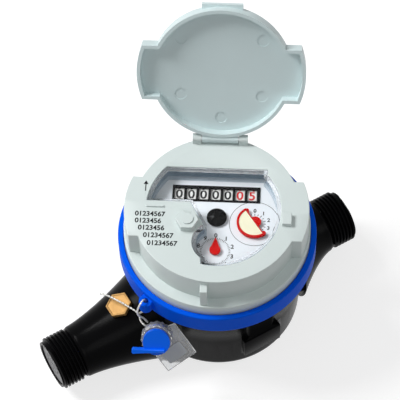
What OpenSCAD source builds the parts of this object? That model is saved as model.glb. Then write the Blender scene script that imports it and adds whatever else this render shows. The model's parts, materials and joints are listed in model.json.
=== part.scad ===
// Domestic dry-dial water meter with a composite body, shown with its lid open.
// Millimetres. +X is the direction of flow, +Z is up, the origin is the centre of the base.

/* [Body] */
// Overall length from pipe end to pipe end
body_length = 165; // [150:1:190]
// Distance from the meter axis to the inlet end
inlet_reach = 93; // [86:1:100]
// Height of the pipe axis over the base
axis_height = 18.5; // [17:0.5:22]
// Outside diameter of the pipe thread
thread_d = 26.44; // [24:0.01:28]
// Length of the pipe thread
thread_length = 13; // [10:0.5:16]
// Bore of the tails
tail_bore_d = 15; // [12:0.5:17]
// Bore that seats the strainer
strainer_bore_d = 21; // [18:0.5:22]
// Growth of the inlet tail's radius towards the pot
inlet_flare = 12; // [8:0.5:14]
// Growth of the outlet tail's radius towards the pot
outlet_flare = 14; // [8:0.5:15]
// Outside radius of the pot
pot_r = 41; // [40:0.5:42]
// Radius of the rounding between the pot's wall and its base
pot_rounding = 7.5; // [4:0.5:10]
// Height of the pot's threaded neck over the base
neck_top = 60; // [58:0.5:64]
// Wall of the pot
pot_wall = 5; // [4:0.5:6]
// Thickness of the pot's floor
floor_t = 7; // [5:0.5:8]
// Height of the ledge that carries the pressure plate
ledge_z = 50; // [49:0.5:52]

/* [Lock ring] */
// Reach of the lock ring past the pot's wall
ring_overhang = 6; // [4.5:0.1:7]
// Wall of the lock ring around the neck
ring_wall = 2.2; // [2:0.1:3]
// Height of the lock ring
ring_h = 12; // [10:0.5:13]
// Thickness of the lock ring's lip
ring_lip_t = 2; // [1.5:0.1:2.5]
// Bearing of the seal lug around the axis
lug_angle = 196.5; // [180:0.5:215]
// Radius of the hole in the seal lug
lug_hole_r = 1.3; // [1:0.1:1.6]

/* [Register head] */
// Turn of the register head about the meter axis
head_angle = -33; // [-60:1:0]
// Height of the shroud's top face over the base
top_z = 86.8; // [85:0.1:89]
// Height of the shroud's shelf over the base
shelf_z = 71.3; // [70:0.1:73]
// Width of the shelf between the flange's edge and the tower
shelf_w = 5.1; // [4:0.1:6]
// Reach of the wings past the tower
wing_reach = 4.2; // [3.5:0.1:5.5]
// Half the width of the wings
wing_half = 16; // [13:0.1:17]
// Reach of the lock ring's lip over the shroud's foot
lip_reach = 3; // [2.9:0.1:4]
// Wall of the shroud
shroud_wall = 2; // [1.6:0.1:2.2]
// Thickness of the dial plate
dial_t = 1; // [0.8:0.1:1.2]
// Depth of the dial's face below the shroud's top face
dial_depth = 9.6; // [8:0.1:10]

/* [Lid] */
// Angle that the lid stands open
lid_open = 120; // [0:1:122]
// Distance of the lid's edge inside the tower's edge
lid_inset = 6.2; // [5.5:0.1:7.5]
// Distance of the lid's wing edge inside the wing's edge
lid_wing_inset = 3.8; // [2:0.1:5]
// Half the width of the lid's wings
lid_wing_half = 13.8; // [12:0.1:15]
// Height of the lid
lid_h = 6; // [5.5:0.1:8]
// Wall of the lid
lid_wall = 1.6; // [1.2:0.1:2]
// Distance of the hinge inside the tower's edge
hinge_inset = 1.9; // [1.5:0.1:2.1]
// Radius of the hinge pin
hinge_pin_r = 1; // [0.8:0.1:1.2]

/* [Counter and train] */
// Radius of a number drum
drum_r = 7.9; // [7.5:0.1:7.9]
// Distance from one drum to the next in a register of 35 mm radius
drum_spacing = 5.5; // [5.4:0.01:5.7]
// Distance of the drum axis behind the meter axis in a register of 35 mm radius
drum_back = 12.5; // [12:0.1:13]
// Radius of the large pointer's half disc
large_pointer_r = 8.3; // [7:0.1:8.6]
// Length of the small pointer from its axis to its tip
small_pointer_l = 6.2; // [5:0.1:6.5]
// Radius of the flow star
star_r = 4.7; // [4:0.1:5.2]

/* [Measuring chamber] */
// Gap between the pot's inner wall and the chamber housing
chamber_gap = 2.5; // [2.4:0.1:3]
// Height of the chamber housing
chamber_h = 29; // [27:0.5:30]
// Gap between the blade tips and the chamber housing
blade_gap = 6.5; // [4.5:0.5:9]
// Number of blades
blade_count = 7; // [5:1:9]
// Number of jets in each row of the chamber
jet_count = 10; // [6:1:12]

/* [Seal] */
// Radius of the seal's clear body
seal_r = 7.5; // [7:0.1:8]
// Diameter of the seal wire
wire_d = 1; // [0.8:0.1:1.2]
// Radius of the hexagonal token over its corners
token_r = 6.6; // [6:0.1:7]
// Thickness of the token
token_t = 2.2; // [1.5:0.1:2.5]

/* [Hidden] */
DRUMS = 7;

$fn = 96;
eps = 0.01;
// Running clearance of a shaft in its hole
run = 0.05;
// Clearance of a seated part in its recess
seat = 0.2;
// Gap between parts that move past each other
pass = 0.3;

// Body
outlet_reach = body_length - inlet_reach;
thread_r = thread_d / 2;
thread_relief = 0.5;
thread_chamfer = 1;
cavity_r = pot_r - pot_wall;
ring_r = pot_r + ring_overhang;
neck_r = ring_r - ring_wall;
neck_wall = 3.8;
flange_r = ring_r - lip_reach;
tower_r = flange_r - shelf_w;
wing_r = tower_r + wing_reach;
hinge_y = tower_r - hinge_inset;
ring_z = neck_top - 6.5;
recess_r = neck_r - neck_wall;
pad_half = 10;
pad_h = 14;
pad_out = 1.5;
tail_end = 34;
flare_power = 1.5;
flare_steps = 14;
tail_clip_z = 1.5;
shelf_ring_t = 2;
lug_r = 3.2;
lug_h = 6.5;
lug_out = 1.6;
strainer_depth = 0.8;
strainer_t = 2;
strainer_seat = strainer_depth + strainer_t + 4;

// Pressure plate and register can
seal_band_t = 1.4;
plate_z = ledge_z + seal_band_t;
plate_t = 3;
well_depth = 5.8;
well_r = 10.3;
well_wall = 1.7;
plate_top = plate_z + plate_t;
can_floor = 1.5;
can_base = plate_top + can_floor;
can_wall = 1.8;
can_r = tower_r - shroud_wall - 0.5;
dial_top = top_z - dial_depth;
dial_z = dial_top - dial_t;
can_well_r = well_r - 0.3;
can_well_wall = 1.6;
can_well_z = plate_top - plate_t - well_depth + 0.3;
can_well_floor = can_well_z + 1.4;
shield_t = 1.05;
shield_h = 6;

// Shroud
register_r = 35;
// Size of the dial's fields beside that of the standard register
dial_scale = can_r / register_r;
window_wall = 1.6;
foot_top = ring_z + ring_h - ring_lip_t;
foot_r = neck_r - 0.1;
window_flange_t = 1.8;
window_step_z = dial_top + window_flange_t;
hinge_eye_r = 2.1;
hinge_z = top_z + hinge_eye_r + 0.2;
ear_in = 8.8;
ear_out = 13;
arm_in = 5.8;
arm_out = 8.5;
fin_x = -5.7;
fin_w = 3.4;
fin_h = 12.7;
boss_at = [-13.2, -8];
boss_r = 5.4;
boss_h = 3.5;
boss_plug_r = 2.8;
boss_plug_h = 0.6;
bar_at = [-32.8, -0.4];
block_at = [30.6, -8.2];

// Lid
lid_r = tower_r - lid_inset;
lid_wing_r = wing_r - lid_wing_inset;
lid_z = top_z + pass;
lid_mark_r = 2.85;
lid_mark_depth = 0.3;
lid_marks = [[19, -13.3], [-19, -13.3], [19, 15.3], [-19, 15.3], [0, 27]];
lid_centre_y = 2.8;
lid_tab_w = 19;
lid_tab_l = 1.2;

// Train
gear_m = 0.6 * dial_scale;
star_teeth = 8;
small_teeth = 48;
star_at = [0, 0];
small_at = [0, -gear_m * (star_teeth + small_teeth) / 2];
large_at = dial_scale * [17, -2];
small_pinion_teeth = 12;
idler_teeth = 30;
idler_pinion_teeth = 10;
large_teeth = 40;
small_to_idler = gear_m * (small_pinion_teeth + idler_teeth) / 2;
idler_to_large = gear_m * (idler_pinion_teeth + large_teeth) / 2;
idler_at = meet(small_at, small_to_idler, large_at, idler_to_large);
arbor_r = 1;
gear_t = 1;
frame_plate_t = 1.2;
frame_top = can_base + frame_plate_t;
low_level = frame_top + 0.2;
mid_level = low_level + gear_t + 0.4;
top_level = mid_level + gear_t + 1.2;
pointer_z = dial_top + 0.7;
pointer_t = 1;
pointer_hub_r = 2.5;
pointer_rim = 1;
pointer_rim_t = 0.5;
pointer_lobe_r = 2.8;
pointer_hook_r = 1.1;
large_pointer_turn = -55;
star_rim_t = 0.8;
star_cone_h = 1.3;
star_facets = 8;

// Counter
drum_pitch = drum_spacing * dial_scale;
drum_y = drum_back * dial_scale;
drum_z = dial_z - drum_r + 0.5;
drum_w = drum_pitch - 0.34;
drum_first_x = -3.12 * drum_pitch;
drum_gear_w = 1;
drum_gear_r = 6.9;
drum_gear_teeth = 20;
drum_shaft_r = 1.2;
drum_face_w = drum_w - drum_gear_w;
mask_border = 0.7;
mask_view_h = 6.2 * dial_scale;
mask_h = 7.5 * dial_scale;
mask_lip = 0.35;
mask_lip_t = 0.4;
mask_left = drum_first_x - drum_w / 2 - mask_border;
mask_w = DRUMS * drum_pitch + mask_border;
mask_y = drum_y + 0.2;
pinion_teeth = 8;
pinion_m = 2 * drum_gear_r / drum_gear_teeth;
pinion_reach = drum_gear_r + pinion_m * pinion_teeth / 2;
pinion_bearing = -21;
pinion_y = drum_y + pinion_reach * cos(pinion_bearing);
pinion_z = drum_z + pinion_reach * sin(pinion_bearing);
pinion_shaft_r = 0.8;
cheek_t = 1.4;
cheek_left = drum_first_x - drum_pitch / 2 - pass - cheek_t;
cheek_right = drum_first_x + (DRUMS - 0.5) * drum_pitch + pass;
cheek_span = cheek_right + cheek_t - cheek_left;

// Chamber
chamber_r = cavity_r - chamber_gap;
impeller_r = chamber_r - blade_gap;
chamber_z = floor_t;
chamber_wall = 1.8;
chamber_floor = 2;
chamber_top = chamber_z + chamber_h;
cover_t = 2.5;
pin_r = 1;
journal_r = 2.5;
magnet_z = chamber_top + cover_t + 1;
magnet_h = 3.3;
magnet_r = 8;
hub_r = 5;
hub_lift = 3;
hub_cut = 8;
blade_lift = 4;
blade_cut = 12;
blade_t = 1.4;
pin_h = 8.5;
pin_bore_h = 9.2;

// Seal
seal_at = [-46.4, -22.8, 42.5];
seal_tilt = [51.7, 0, -30.5];
seal_body_t = 6;
seal_floor = 1.5;
seal_teeth = 16;
seal_tooth = 0.6;
flag_t = 1.2;
flag_outline = [[8.5, 6.5], [18.5, -8.5], [5, -18.5], [-2, -8.5], [-1, -5], [5, 5]];
rotor_r = 5;
rotor_cap_r = 6.4;
rotor_cap_h = 2;
rotor_wing_y = -4;
rotor_wing_h = 3.4;
token_x = -53;
token_lean = -7;
inlet_flare_start = inlet_reach - thread_length - thread_relief * 2;
token_t_along = (inlet_flare_start + token_x) / (inlet_flare_start - tail_end);
token_slope = atan(inlet_flare * flare_power * pow(token_t_along, flare_power - 1)
    / (inlet_flare_start - tail_end));
loop_route = [[-48, -16.9, 47.6], [-49.6, -16.1, 52], [-52, -16.3, 57], [-52.4, -16, 61.5],
              [-50, -15.1, 65.2], [-47.6, -14.2, 65.4], [-46.6, -13.8, 63], [-46.6, -13.8, 56],
              [-47.2, -12.8, 52], [-48.2, -10.3, 46.5], [-48.4, -9.1, 44]];
tail_route = [[-49.6, -17.1, 46], [-49.8, -13.3, 44.5], [-48.6, -8.3, 42.7], [-50.5, -3.3, 42.6],
              [-54, 3.7, 42.2], [-56.5, 8.2, 41.6], [-58.5, 11.2, 40.6]];

// Point where two circles meet, on the side away from the axis
function meet(a, ra, b, rb) =
    let (d = norm(b - a), u = (b - a) / d, along = (ra * ra - rb * rb + d * d) / (2 * d),
         side = sqrt(ra * ra - along * along))
    a + along * u + side * [u[1], -u[0]];

// Left end of number drum k
function drum_left(k) = drum_first_x + (k - 1) * drum_pitch - drum_w / 2;

// Direction from one point of the plan to another
function bearing(a, b) = atan2(b[1] - a[1], b[0] - a[0]);

// Radius of a tail a share t of the way from its thread to the pot
function flare(t, growth) = thread_r + growth * pow(t, flare_power);

// Outline of a gear with stub teeth
function gear_outline(teeth, m) =
    let (root = m * teeth / 2 - 0.95 * m, tip = m * teeth / 2 + 0.7 * m,
         half = [-0.26, -0.1, 0.1, 0.26], r = [root, tip, tip, root])
    [for (i = [0:teeth - 1], k = [0:3])
        let (a = 360 / teeth * (i + half[k])) r[k] * [cos(a), sin(a)]];

// Gear wheel whose tooth, or gap where gap is true, faces the given bearing
module gear(teeth, m, h, toward = 0, gap = false)
    rotate(toward + (gap ? 180 / teeth : 0)) linear_extrude(h) polygon(gear_outline(teeth, m));

// Ring of rectangular section
module band(r_in, r_out, h)
    difference() {
        cylinder(r = r_out, h = h);
        translate([0, 0, -eps]) cylinder(r = r_in, h = h + 2 * eps);
    }

// Children in the register head's own directions
module head() rotate([0, 0, head_angle]) children();

// Children in the seal's own directions
module at_seal() translate(seal_at) rotate(seal_tilt) children();

// Body, with the pot, its neck and both tails
function round_corner(r, z, radius, steps) =
    [for (i = [0:steps])
        let (a = 90 * i / steps) [r - radius + radius * sin(a), z + radius - radius * cos(a)]];

module pot_solid()
    rotate_extrude() polygon(concat([[0, 0]], round_corner(pot_r - 1.4, 0, pot_rounding, 8),
        [[pot_r, neck_top / 2], [pot_r, ring_z - 4], [neck_r, ring_z - 0.6], [neck_r, neck_top],
         [0, neck_top]]));

module tail_solid(reach, growth)
    rotate([0, 90, 0]) rotate_extrude() polygon(concat(
        [[0, tail_end], [0, reach], [thread_r - thread_chamfer, reach], [thread_r, reach - thread_chamfer],
         [thread_r, reach - thread_length],
         [thread_r - thread_relief, reach - thread_length - thread_relief / 2],
         [thread_r - thread_relief, reach - thread_length - thread_relief * 1.5]],
        [for (i = [0:flare_steps])
            let (t = i / flare_steps, start = reach - thread_length - thread_relief * 2)
            [flare(t, growth), start + (tail_end - start) * t]]));

module cavity()
    rotate_extrude() polygon([[0, floor_t], [cavity_r, floor_t], [cavity_r, axis_height - shelf_ring_t / 2],
        [chamber_r + pass, axis_height - shelf_ring_t / 2],
        [chamber_r + pass, axis_height + shelf_ring_t / 2],
        [cavity_r, axis_height + shelf_ring_t / 2], [cavity_r, ledge_z], [recess_r, ledge_z],
        [recess_r, neck_top + 1], [0, neck_top + 1]]);

module along_pipe(x) translate([x, 0, axis_height]) rotate([0, 90, 0]) children();

module body()
    color([0.1, 0.1, 0.11]) difference() {
        union() {
            pot_solid();
            intersection() {
                translate([0, 0, axis_height]) union() {
                    tail_solid(outlet_reach, outlet_flare);
                    mirror([1, 0, 0]) tail_solid(inlet_reach, inlet_flare);
                }
                translate([-inlet_reach - 1, -pot_r, tail_clip_z])
                    cube([body_length + 2, 2 * pot_r, ring_z - 2]);
            }
            translate([-pad_half, -pot_r - pad_out, axis_height - 2]) cube([2 * pad_half, pot_wall, pad_h]);
        }
        cavity();
        along_pipe(cavity_r - 1) cylinder(d = tail_bore_d, h = outlet_reach);
        along_pipe(-inlet_reach - 1) cylinder(d = tail_bore_d, h = inlet_reach + 1 - cavity_r + 1);
        along_pipe(-inlet_reach - 1) cylinder(d = strainer_bore_d, h = 1 + strainer_seat);
    }

module inlet_strainer()
    color([0.62, 0.64, 0.64]) along_pipe(-inlet_reach + strainer_depth) difference() {
        cylinder(d = strainer_bore_d - 2 * run, h = strainer_seat - strainer_depth);
        translate([0, 0, strainer_t]) cylinder(d = tail_bore_d, h = strainer_seat);
        for (ring = [0:2], i = [0:max(0, 6 * ring - 1)])
            rotate(ring == 0 ? 0 : 60 / ring * i) translate([2.6 * ring, 0, -1])
                cylinder(r = 0.9, h = strainer_t + 2, $fn = 24);
    }

// Measuring chamber with its two rows of slanting jets
module jets(z, h, turn)
    for (i = [0:jet_count - 1]) rotate(360 / jet_count * i)
        translate([chamber_r - 2, 0, z]) rotate(turn) translate([-6, -1.2, 0]) cube([12, 2.4, h]);

module chamber_housing()
    color([0.85, 0.86, 0.84]) difference() {
        translate([0, 0, chamber_z]) cylinder(r = chamber_r, h = chamber_h);
        translate([0, 0, chamber_z + chamber_floor]) cylinder(r = chamber_r - chamber_wall, h = chamber_h);
        translate([0, 0, chamber_z + 0.5]) cylinder(r = pin_r, h = chamber_floor, $fn = 48);
        jets(chamber_z + chamber_floor + 3, 5, 55);
        jets(axis_height + shelf_ring_t / 2 + 4, 7, -55);
    }

module chamber_cover()
    color([0.85, 0.86, 0.84]) difference() {
        union() {
            translate([0, 0, chamber_top]) cylinder(r = chamber_r, h = cover_t);
            translate([0, 0, chamber_top - 1.5]) cylinder(r = chamber_r - chamber_wall - seat, h = 1.5 + eps);
        }
        translate([0, 0, chamber_top - 2]) cylinder(r = journal_r + run, h = cover_t + 4);
    }

module impeller_pin()
    color([0.75, 0.76, 0.78]) translate([0, 0, chamber_z + 0.5]) cylinder(r = pin_r, h = pin_h, $fn = 48);

module impeller()
    color([0.92, 0.92, 0.9]) difference() {
        union() {
            translate([0, 0, chamber_z + chamber_floor + hub_lift])
                cylinder(r = hub_r, h = chamber_h - hub_cut);
            translate([0, 0, chamber_z + chamber_floor + blade_lift])
                cylinder(r = journal_r, h = magnet_z - chamber_z - chamber_floor - blade_lift);
            translate([0, 0, magnet_z - eps]) cylinder(r = journal_r - 0.4, h = magnet_h);
            for (i = [0:blade_count - 1]) rotate(360 / blade_count * i)
                translate([hub_r - 1, -blade_t / 2, chamber_z + chamber_floor + blade_lift])
                    cube([impeller_r - hub_r + 1, blade_t, chamber_h - blade_cut]);
        }
        translate([0, 0, chamber_z]) cylinder(r = pin_r + run, h = pin_bore_h, $fn = 48);
    }

module drive_magnet()
    color([0.25, 0.25, 0.27]) translate([0, 0, magnet_z]) band(journal_r - 0.4, magnet_r, magnet_h);

module pressure_plate_seal()
    color([0.08, 0.08, 0.08]) translate([0, 0, ledge_z]) band(cavity_r + 0.8, recess_r - seat, seal_band_t);

// Pressure plate with the magnet's well and a skirt that holds the chamber down
module pressure_plate()
    color([0.72, 0.72, 0.7]) difference() {
        union() {
            translate([0, 0, plate_z]) cylinder(r = recess_r - seat, h = plate_t);
            translate([0, 0, plate_z - well_depth - well_wall])
                cylinder(r = well_r + well_wall, h = well_depth + well_wall + eps);
            translate([0, 0, chamber_top + cover_t])
                band(chamber_r - 3, chamber_r - 0.5, plate_z - chamber_top - cover_t + eps);
        }
        translate([0, 0, plate_z - well_depth]) cylinder(r = well_r, h = well_depth + plate_t + 1);
    }

module lock_ring()
    color([0.03, 0.22, 0.75]) difference() {
        union() {
            translate([0, 0, ring_z]) cylinder(r = ring_r, h = ring_h);
            rotate(lug_angle) translate([ring_r - 2, -lug_r, ring_z + 3])
                cube([2 + lug_out, 2 * lug_r, lug_h]);
            rotate(lug_angle) translate([ring_r + lug_out, 0, ring_z + 3]) cylinder(r = lug_r, h = lug_h);
        }
        translate([0, 0, ring_z - 1]) cylinder(r = neck_r + 0.1, h = foot_top - ring_z + 1);
        translate([0, 0, ring_z]) cylinder(r = flange_r + pass, h = ring_h + 1);
        rotate(lug_angle) translate([ring_r + lug_out, 0, ring_z]) cylinder(r = lug_hole_r, h = ring_h);
    }

// Register can, a cup with a well that dips into the pressure plate
module register_can()
    color([0.8, 0.82, 0.82]) difference() {
        union() {
            translate([0, 0, plate_top]) cylinder(r = recess_r - seat, h = can_floor);
            translate([0, 0, can_well_z]) cylinder(r = can_well_r, h = plate_top - can_well_z + eps);
            translate([0, 0, plate_top]) cylinder(r = can_r, h = dial_z - plate_top);
        }
        translate([0, 0, can_base]) cylinder(r = can_r - can_wall, h = dial_z);
        translate([0, 0, can_well_floor]) cylinder(r = can_well_r - can_well_wall, h = can_base);
        translate([0, 0, can_well_floor - 0.8]) cylinder(r = arbor_r + run, h = 2, $fn = 48);
    }

module magnet_shield_ring()
    color([0.6, 0.6, 0.62]) translate([0, 0, can_well_floor])
        band(can_well_r - can_well_wall - run - shield_t, can_well_r - can_well_wall - run, shield_h);

// Plate and cheeks that carry the arbors and the counter
module register_frame()
    color([0.9, 0.9, 0.88]) head() difference() {
        union() {
            translate([0, 0, can_base]) cylinder(r = can_r - can_wall - seat, h = frame_plate_t);
            for (x = [cheek_left, cheek_right])
                translate([x, drum_y - 1.8, can_base])
                    cube([cheek_t, pinion_y - drum_y + 4, drum_z - can_base + 3.5]);
            for (a = [70, 110, 200, 335]) rotate(a) translate([can_r - can_wall - 2.7, 0, can_base])
                cylinder(r = 1.8, h = dial_z - can_base, $fn = 32);
            translate([idler_at[0], idler_at[1], can_base])
                cylinder(r = arbor_r, h = mid_level + gear_t + 0.2 - can_base, $fn = 48);
        }
        translate([0, 0, can_base - 1]) cylinder(r = 4.5, h = 4);
        for (p = [small_at, large_at]) translate([p[0], p[1], can_base - 1])
            cylinder(r = arbor_r + run, h = 4, $fn = 48);
        translate([cheek_left - 1, drum_y, drum_z]) rotate([0, 90, 0])
            cylinder(r = drum_shaft_r, h = cheek_span + 2, $fn = 48);
        translate([cheek_left - 1, pinion_y, pinion_z]) rotate([0, 90, 0])
            cylinder(r = pinion_shaft_r, h = cheek_span + 2, $fn = 48);
    }

module star_arbor()
    color([0.9, 0.9, 0.86]) head() {
        translate([0, 0, can_well_floor - 0.6])
            cylinder(r = arbor_r, h = pointer_z + star_rim_t + star_cone_h - can_well_floor, $fn = 48);
        translate([0, 0, top_level]) gear(star_teeth, gear_m, gear_t, bearing(star_at, small_at));
    }

module follower_magnet()
    color([0.25, 0.25, 0.27]) translate([0, 0, can_well_floor + 0.5]) band(arbor_r, 6.5, 4.6);

// Flow star, a round wheel with facets that catch the light as it turns
module star_indicator()
    color([0.05, 0.05, 0.05]) head() translate([0, 0, pointer_z]) difference() {
        union() {
            cylinder(r = star_r, h = star_rim_t);
            translate([0, 0, star_rim_t - eps])
                cylinder(r1 = star_r - 0.3, r2 = arbor_r + 0.5, h = star_cone_h, $fn = star_facets);
        }
        translate([0, 0, -1]) cylinder(r = arbor_r, h = star_rim_t + star_cone_h + 0.4, $fn = 48);
    }

module small_pointer_arbor()
    color([0.9, 0.9, 0.86]) head() translate([small_at[0], small_at[1], 0]) {
        translate([0, 0, can_base + 0.2])
            cylinder(r = arbor_r, h = pointer_z + pointer_t - 0.5 - can_base, $fn = 48);
        translate([0, 0, mid_level]) gear(small_pinion_teeth, gear_m, gear_t, bearing(small_at, idler_at));
        translate([0, 0, top_level]) gear(small_teeth, gear_m, gear_t, bearing(small_at, star_at), true);
    }

module small_pointer()
    color([0.85, 0.02, 0.02]) head() translate([small_at[0], small_at[1], pointer_z]) difference() {
        linear_extrude(pointer_t) union() {
            circle(r = pointer_hub_r);
            polygon([[-0.9 * pointer_hub_r, 0.5], [-0.25, small_pointer_l], [0.25, small_pointer_l],
                     [0.9 * pointer_hub_r, 0.5]]);
        }
        translate([0, 0, -1]) cylinder(r = arbor_r, h = pointer_t + 0.7, $fn = 48);
    }

module idler_gear()
    color([0.9, 0.9, 0.86]) head() translate([idler_at[0], idler_at[1], 0]) difference() {
        union() {
            translate([0, 0, low_level])
                gear(idler_pinion_teeth, gear_m, gear_t + 0.4 + eps, bearing(idler_at, large_at));
            translate([0, 0, mid_level]) gear(idler_teeth, gear_m, gear_t, bearing(idler_at, small_at), true);
        }
        translate([0, 0, low_level - 1]) cylinder(r = arbor_r + run, h = 5, $fn = 48);
    }

module large_pointer_arbor()
    color([0.9, 0.9, 0.86]) head() translate([large_at[0], large_at[1], 0]) {
        translate([0, 0, can_base + 0.2])
            cylinder(r = arbor_r, h = pointer_z + pointer_t - 0.5 - can_base, $fn = 48);
        translate([0, 0, low_level]) gear(large_teeth, gear_m, gear_t, bearing(large_at, idler_at), true);
    }

// Half disc on the near side of its straight edge
module half_disc(r)
    intersection() {
        circle(r = r);
        translate([-2 * r, -2 * r]) square([4 * r, 2 * r + 0.4]);
    }

// Large pointer, a half disc with a rim, hooks at its corners and a lobe across its middle
module large_pointer()
    color([0.85, 0.02, 0.02]) head() translate([large_at[0], large_at[1], pointer_z])
        rotate(large_pointer_turn) difference() {
            union() {
                linear_extrude(pointer_t) union() {
                    half_disc(large_pointer_r);
                    translate([0, 0.4]) circle(r = pointer_lobe_r);
                    for (x = [-1, 1]) translate([x * (large_pointer_r - pointer_hook_r), 0.4])
                        circle(r = pointer_hook_r);
                }
                linear_extrude(pointer_t + pointer_rim_t) difference() {
                    half_disc(large_pointer_r);
                    circle(r = large_pointer_r - pointer_rim);
                }
            }
            translate([0, 0, -1]) cylinder(r = arbor_r, h = pointer_t + 0.7, $fn = 48);
        }

module drum_shaft()
    color([0.75, 0.76, 0.78]) head() translate([cheek_left, drum_y, drum_z]) rotate([0, 90, 0])
        cylinder(r = drum_shaft_r, h = cheek_span, $fn = 48);

module pinion_shaft()
    color([0.75, 0.76, 0.78]) head() translate([cheek_left, pinion_y, pinion_z]) rotate([0, 90, 0])
        cylinder(r = pinion_shaft_r, h = cheek_span, $fn = 48);

// Number drum k, counted from the highest digit, with its gear on the right
module number_drum(k)
    color([0.95, 0.95, 0.93]) head()
        translate([drum_left(k), drum_y, drum_z]) rotate([0, 90, 0]) difference() {
            union() {
                cylinder(r = drum_r, h = drum_face_w);
                translate([0, 0, drum_face_w - eps])
                    gear(drum_gear_teeth, pinion_m, drum_gear_w + eps, pinion_bearing + 90);
            }
            translate([0, 0, -1]) cylinder(r = drum_shaft_r + run, h = drum_w + 2, $fn = 48);
        }

// Pinion between drum k and drum k + 1
module carry_pinion(k)
    color([0.9, 0.9, 0.86]) head()
        translate([drum_left(k) + drum_face_w + 0.1, pinion_y, pinion_z]) rotate([0, 90, 0])
            difference() {
                union() {
                    gear(pinion_teeth, pinion_m, drum_gear_w - 0.2, pinion_bearing + 90, true);
                    cylinder(r = 1.5, h = drum_pitch - 0.3, $fn = 32);
                }
                translate([0, 0, -1]) cylinder(r = pinion_shaft_r + run, h = drum_pitch + 2, $fn = 48);
            }

module dial_plate()
    color([0.96, 0.97, 0.97]) head() translate([0, 0, dial_z]) difference() {
        cylinder(r = can_r - seat, h = dial_t);
        translate([mask_left, mask_y - mask_h / 2, -1]) cube([mask_w, mask_h, dial_t + 2]);
        for (p = [star_at, small_at, large_at]) translate([p[0], p[1], -1])
            cylinder(r = arbor_r + run, h = dial_t + 2, $fn = 48);
    }

// Black frame in the dial's opening, with a view of each drum
module counter_mask()
    color([0.06, 0.06, 0.06]) head() difference() {
        union() {
            translate([mask_left + run, mask_y - mask_h / 2 + run, dial_top - dial_t + 0.15])
                cube([mask_w - 2 * run, mask_h - 2 * run, dial_t]);
            translate([mask_left - mask_lip, mask_y - mask_h / 2 - mask_lip, dial_top])
                cube([mask_w + 2 * mask_lip, mask_h + 2 * mask_lip, mask_lip_t]);
        }
        for (k = [1:DRUMS]) translate([drum_left(k) - 0.15, mask_y - mask_view_h / 2, dial_z - 1])
            cube([drum_face_w + 0.3, mask_view_h, dial_t + 3]);
    }

// Outline of the window: counter field, dial field and the small dial's lobe
module window_outline(grow)
    offset(delta = grow) scale(dial_scale) union() {
        intersection() {
            circle(r = 31.5);
            translate([-33, 3.5]) square([55, 17.5]);
        }
        intersection() {
            circle(r = 28.7);
            polygon([[-12, 21], [-12, 3.5], [-5.6, -7.7], [-5.6, -30], [30, -30], [30, 21]]);
        }
        translate(small_at / dial_scale) circle(r = 10);
    }

module window()
    color([0.8, 0.88, 0.92, 0.35]) head() difference() {
        union() {
            translate([0, 0, dial_top]) cylinder(r = can_r, h = window_flange_t);
            translate([0, 0, dial_top]) linear_extrude(dial_depth - pass) window_outline(0);
        }
        translate([0, 0, dial_top - 1]) linear_extrude(dial_depth - pass - window_wall + 1)
            window_outline(-window_wall);
    }

// Plan of the tower with both wings
module shroud_outline(grow)
    union() {
        circle(r = tower_r + grow);
        intersection() {
            circle(r = wing_r + grow);
            square([3 * wing_r, 2 * (wing_half + grow)], center = true);
        }
    }

module hinge_ear()
    translate([ear_in, 0, 0]) rotate([90, 0, 90]) linear_extrude(ear_out - ear_in) union() {
        translate([hinge_y, hinge_z]) circle(r = hinge_eye_r);
        polygon([[hinge_y - hinge_eye_r, hinge_z], [hinge_y - hinge_eye_r, top_z - 1],
                 [tower_r - 3.3, top_z - 6], [hinge_y + hinge_eye_r, top_z - 1],
                 [hinge_y + hinge_eye_r, hinge_z]]);
    }

module shroud()
    color([0.8, 0.84, 0.83]) head() difference() {
        union() {
            translate([0, 0, neck_top]) cylinder(r = foot_r, h = foot_top - neck_top);
            translate([0, 0, neck_top]) cylinder(r = flange_r, h = shelf_z - neck_top);
            translate([0, 0, can_base]) cylinder(r = recess_r - seat, h = neck_top - can_base + eps);
            translate([0, 0, shelf_z - eps]) linear_extrude(top_z - shelf_z + eps) shroud_outline(0);
            hinge_ear();
            mirror([1, 0, 0]) hinge_ear();
            // Front fin
            translate([fin_x, -flange_r + 1.2, shelf_z - eps]) cube([fin_w, 8, fin_h]);
            // Hexagonal boss, bar and block on the top face
            translate(concat(boss_at, top_z - eps)) cylinder(r = boss_r, h = boss_h, $fn = 6);
            translate(concat(boss_at, top_z)) cylinder(r = boss_plug_r, h = boss_h + boss_plug_h);
            translate(concat(bar_at, top_z - eps)) cube([8.4, 1.2, 0.8]);
            translate(concat(block_at, top_z - eps)) cube([4.4, 6.2, 2.4]);
        }
        translate([0, 0, can_base - 1]) cylinder(r = can_r + pass, h = window_step_z - can_base + 1);
        translate([0, 0, window_step_z - eps])
            cylinder(r = can_r - 1.2, h = top_z - shroud_wall - window_step_z + eps);
        translate([0, 0, top_z - 2 * shroud_wall]) linear_extrude(3 * shroud_wall) window_outline(seat);
        translate([-2 * ear_out, hinge_y, hinge_z]) rotate([0, 90, 0])
            cylinder(r = hinge_pin_r, h = 4 * ear_out, $fn = 48);
    }

module hinge_pin()
    color([0.7, 0.71, 0.73]) head() translate([-ear_out, hinge_y, hinge_z]) rotate([0, 90, 0])
        cylinder(r = hinge_pin_r, h = 2 * ear_out, $fn = 48);

// Plan of the lid
module lid_outline(grow)
    translate([0, lid_centre_y]) union() {
        circle(r = lid_r + grow);
        intersection() {
            circle(r = lid_wing_r + grow);
            square([3 * lid_wing_r, 2 * (lid_wing_half + grow)], center = true);
        }
    }

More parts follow.
